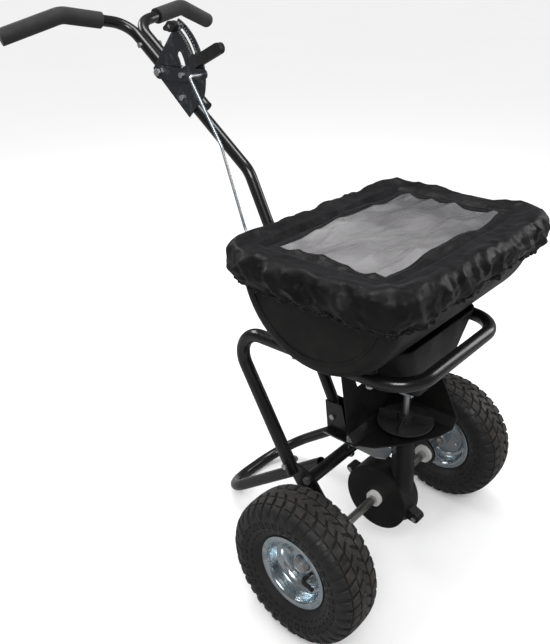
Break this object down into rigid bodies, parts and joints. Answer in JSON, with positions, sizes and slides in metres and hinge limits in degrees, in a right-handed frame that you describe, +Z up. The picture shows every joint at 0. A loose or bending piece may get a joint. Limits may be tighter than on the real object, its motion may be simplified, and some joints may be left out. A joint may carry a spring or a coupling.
{
  "type": "push broadcast spreader",
  "caption": "Walk-behind broadcast spreader: covered hopper with gate over a wheel-driven impeller, tubular frame, pneumatic wheels, column handle and flow lever.",
  "frame": {"origin": "on the ground under the middle of the whole machine, 275 mm behind the axle", "axes": "+Z up; -Y is the front, where the hopper stands; the operator walks on the +Y side; -X is the operator's right"},
  "size_m": [0.5666, 0.8774, 0.9829],
  "materials": {
    "black_paint": "gloss",
    "hopper_plastic": "satin",
    "gearbox_plastic": "satin",
    "guard_plastic": "satin",
    "zinc_plate": "zinc plated",
    "steel": "ground",
    "fastener": "zinc plated",
    "tyre_rubber": "matte",
    "valve_rubber": "matte",
    "grip_foam": "foam",
    "cover_fabric": "coated nylon",
    "cover_film": "clear film",
    "quadrant_metal": "satin",
    "knob_plastic": "satin",
    "bush_plastic": "satin",
    "gear_plastic": "satin",
    "impeller_plastic": "satin"
  },
  "bodies": {
    "frame": {"main_frame": "black_paint", "stand_loop": "black_paint", "cross_tube": "black_paint", "right_axle_bracket": "black_paint", "left_axle_bracket": "black_paint", "bracket_bolts": "fastener", "axle_bushes": "bush_plastic", "base_plate": "zinc_plate", "column_bracket": "black_paint", "base_plate_bolts": "fastener", "column_handlebar": "black_paint", "left_handlebar": "black_paint", "handlebar_plug": "knob_plastic", "right_grip": "grip_foam", "left_grip": "grip_foam", "handlebar_bolts": "fastener", "control_quadrant": "quadrant_metal", "lever_pivot_bolt": "fastener", "gearbox_cover": "gearbox_plastic", "gearbox_housing": "gearbox_plastic", "gearbox_screws": "fastener", "gearbox_bushes": "bush_plastic", "shaft_bushes": "bush_plastic", "impeller_guard": "guard_plastic", "hopper": "hopper_plastic", "hopper_bolts": "fastener", "gate_channel": "zinc_plate", "crank_pivot_bolt": "fastener"},
    "axle": {"axle": "steel", "axle_collars": "steel", "axle_gear": "gear_plastic", "drive_pin": "steel", "left_tyre": "tyre_rubber", "left_rim_outer": "zinc_plate", "left_rim_inner": "zinc_plate", "left_hub": "zinc_plate", "left_wheel_bolts": "fastener", "left_valve": "valve_rubber"},
    "free_wheel": {"right_tyre": "tyre_rubber", "right_rim_outer": "zinc_plate", "right_rim_inner": "zinc_plate", "right_hub": "zinc_plate", "right_wheel_bolts": "fastener", "right_valve": "valve_rubber"},
    "impeller": {"impeller_shaft": "steel", "shaft_gear": "gear_plastic", "impeller": "impeller_plastic", "agitator": "steel"},
    "flow_lever": {"flow_lever": "quadrant_metal", "lever_grip": "knob_plastic", "lever_guide_bolt": "fastener"},
    "link_rod": {"link_rod": "zinc_plate"},
    "bell_crank": {"bell_crank": "zinc_plate"},
    "gate": {"gate_plate": "zinc_plate"},
    "stop": {"stop_bolt": "fastener", "stop_knob": "knob_plastic"},
    "rain_cover": {"rain_cover": "cover_fabric", "cover_window": "cover_film"}
  },
  "joints": [
    {"name": "axle_spin", "type": "hinge", "parent": "frame", "child": "axle", "pos_m": [0, -0.27472, 0.13], "axis": [1, 0, 0], "continuous": true},
    {"name": "free_wheel_spin", "type": "hinge", "parent": "frame", "child": "free_wheel", "pos_m": [-0.237, -0.27472, 0.13], "axis": [1, 0, 0], "continuous": true},
    {"name": "impeller_spin", "type": "hinge", "parent": "frame", "child": "impeller", "pos_m": [0, -0.31272, 0.3], "axis": [0, 0, 1], "continuous": true},
    {"name": "lever_swing", "type": "hinge", "parent": "frame", "child": "flow_lever", "pos_m": [0, 0.25728, 0.862], "axis": [-1, 0, 0], "range_deg": [0, 28]},
    {"name": "rod_turn", "type": "hinge", "parent": "flow_lever", "child": "link_rod", "pos_m": [-0.03, 0.13245, 0.86854], "axis": [1, 0, 0], "range_deg": [0, 25.75]},
    {"name": "crank_swing", "type": "hinge", "parent": "frame", "child": "bell_crank", "pos_m": [-0.06, -0.20272, 0.451], "axis": [1, 0, 0], "range_deg": [0, 47.21]},
    {"name": "gate_slide", "type": "slide", "parent": "frame", "child": "gate", "axis": [0, 1, 0], "range_m": [0, 0.04805]},
    {"name": "stop_shift", "type": "hinge", "parent": "frame", "child": "stop", "pos_m": [0, 0.25728, 0.862], "axis": [1, 0, 0], "range_deg": [0, 6]},
    {"name": "cover_lift", "type": "slide", "parent": "frame", "child": "rain_cover", "axis": [0, 0, 1], "range_m": [0, 0.25]}
  ],
  "couplings": [
    {"joint": "impeller_spin", "follows": "axle_spin", "ratio": 4},
    {"joint": "rod_turn", "follows": "lever_swing", "ratio": 0.91804},
    {"joint": "crank_swing", "follows": "lever_swing", "ratio": 1.6842},
    {"joint": "gate_slide", "follows": "lever_swing", "m_per_rad": 0.098221}
  ]
}
